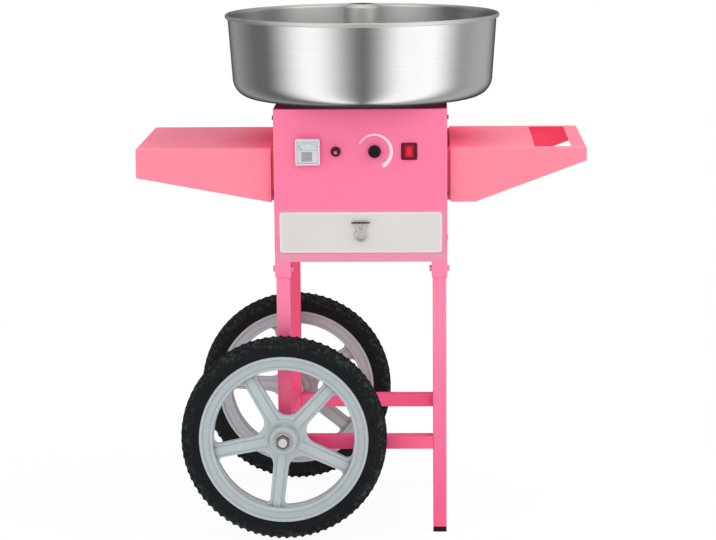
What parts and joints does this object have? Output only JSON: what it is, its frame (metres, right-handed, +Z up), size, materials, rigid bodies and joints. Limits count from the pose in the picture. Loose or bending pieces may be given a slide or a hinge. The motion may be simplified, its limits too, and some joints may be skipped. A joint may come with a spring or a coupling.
{
  "type": "cotton candy cart",
  "caption": "Wheeled street-food cart with a steel spinning bowl and head on a boxed control housing, a drawer, folded side shelves, square legs and spoked wheels.",
  "frame": {"origin": "on the floor, under the middle of the cart and the spindle's axis", "axes": "+Z up, +X to the right when facing the controls, -Y towards the front with the controls and the drawer"},
  "size_m": [0.824, 0.516, 0.9715],
  "materials": {
    "pink_paint": "gloss powder coat",
    "stainless": "polished",
    "zinc": "zinc plated",
    "wheel_plastic": "satin",
    "tyre_rubber": "matt",
    "black_rubber": "matt",
    "black_plastic": "satin",
    "pale_paint": "satin",
    "pale_plastic": "gloss",
    "red_plastic": "gloss",
    "clear_plastic": "clear",
    "motor_paint": "satin",
    "copper": "worn",
    "ceramic": "matt ceramic",
    "nylon": "satin",
    "steel": "plain"
  },
  "bodies": {
    "cart": {"front_left_leg": "pink_paint", "rear_left_leg": "pink_paint", "front_right_leg": "pink_paint", "rear_right_leg": "pink_paint", "leg_sockets": "pink_paint", "socket_bolts": "zinc", "front_rail": "pink_paint", "rear_rail": "pink_paint", "cross_rail": "pink_paint", "rail_screws": "pink_paint", "leg_feet": "black_plastic", "axle": "steel", "axle_washers": "zinc", "axle_nuts": "zinc", "drawer_housing": "pink_paint", "drawer_runners": "zinc", "base_plate": "pink_paint", "housing_shell": "pink_paint", "front_panel": "pink_paint", "top_deck": "pink_paint", "housing_screws": "zinc", "motor_bracket": "zinc", "motor_body": "motor_paint", "bearing_holder": "steel", "spindle_bearings": "steel", "brush_block": "black_plastic", "bowl_pads": "black_rubber", "voltmeter_case": "pale_plastic", "voltmeter_dial": "pale_plastic", "voltmeter_window": "clear_plastic", "fuse_holder": "black_plastic", "potentiometer": "zinc", "switch_body": "black_plastic", "cord_gland": "black_plastic", "left_shelf": "pink_paint", "right_shelf": "pink_paint", "shelf_brackets": "pink_paint"},
    "front_wheel": {"front_rim": "wheel_plastic", "front_tyre": "tyre_rubber", "front_bush": "nylon"},
    "rear_wheel": {"rear_rim": "wheel_plastic", "rear_tyre": "tyre_rubber", "rear_bush": "nylon"},
    "drawer": {"drawer_tray": "stainless", "drawer_slides": "zinc", "drawer_front": "pale_paint", "pull_plate": "zinc", "pull_pin": "steel"},
    "pull": {"pull_ring": "steel"},
    "spinner": {"spindle": "steel", "slip_rings": "copper", "spinner_base": "stainless", "heater_ring": "ceramic", "floss_band": "stainless", "spinner_cover": "stainless", "head_nut": "zinc"},
    "bowl": {"bowl": "stainless"},
    "knob": {"heat_knob": "black_plastic"},
    "rocker": {"switch_rocker": "red_plastic"},
    "fuse_cap": {"fuse_cap": "black_plastic"}
  },
  "joints": [
    {"name": "front_wheel_spin", "type": "hinge", "parent": "cart", "child": "front_wheel", "pos_m": [-0.1435, -0.212, 0.19], "axis": [0, 1, 0], "continuous": true},
    {"name": "rear_wheel_spin", "type": "hinge", "parent": "cart", "child": "rear_wheel", "pos_m": [-0.1435, 0.212, 0.19], "axis": [0, 1, 0], "continuous": true},
    {"name": "drawer_slide", "type": "slide", "parent": "cart", "child": "drawer", "axis": [0, -1, 0], "range_m": [0, 0.25]},
    {"name": "pull_swing", "type": "hinge", "parent": "drawer", "child": "pull", "pos_m": [0, -0.1854, 0.5865], "axis": [-1, 0, 0], "range_deg": [0, 85]},
    {"name": "spinner_spin", "type": "hinge", "parent": "cart", "child": "spinner", "pos_m": [0, 0, 0.838], "axis": [0, 0, 1], "continuous": true},
    {"name": "bowl_lift", "type": "slide", "parent": "cart", "child": "bowl", "axis": [0, 0, 1], "range_m": [0, 0.22]},
    {"name": "knob_turn", "type": "hinge", "parent": "cart", "child": "knob", "pos_m": [0.02607, -0.189, 0.7165], "axis": [0, 1, 0], "range_deg": [0, 270]},
    {"name": "switch_rock", "type": "hinge", "parent": "cart", "child": "rocker", "pos_m": [0.08895, -0.181, 0.7165], "axis": [1, 0, 0], "range_deg": [0, 16]},
    {"name": "fuse_cap_turn", "type": "hinge", "parent": "cart", "child": "fuse_cap", "pos_m": [-0.04456, -0.187, 0.7165], "axis": [0, 1, 0], "range_deg": [0, 90]}
  ]
}
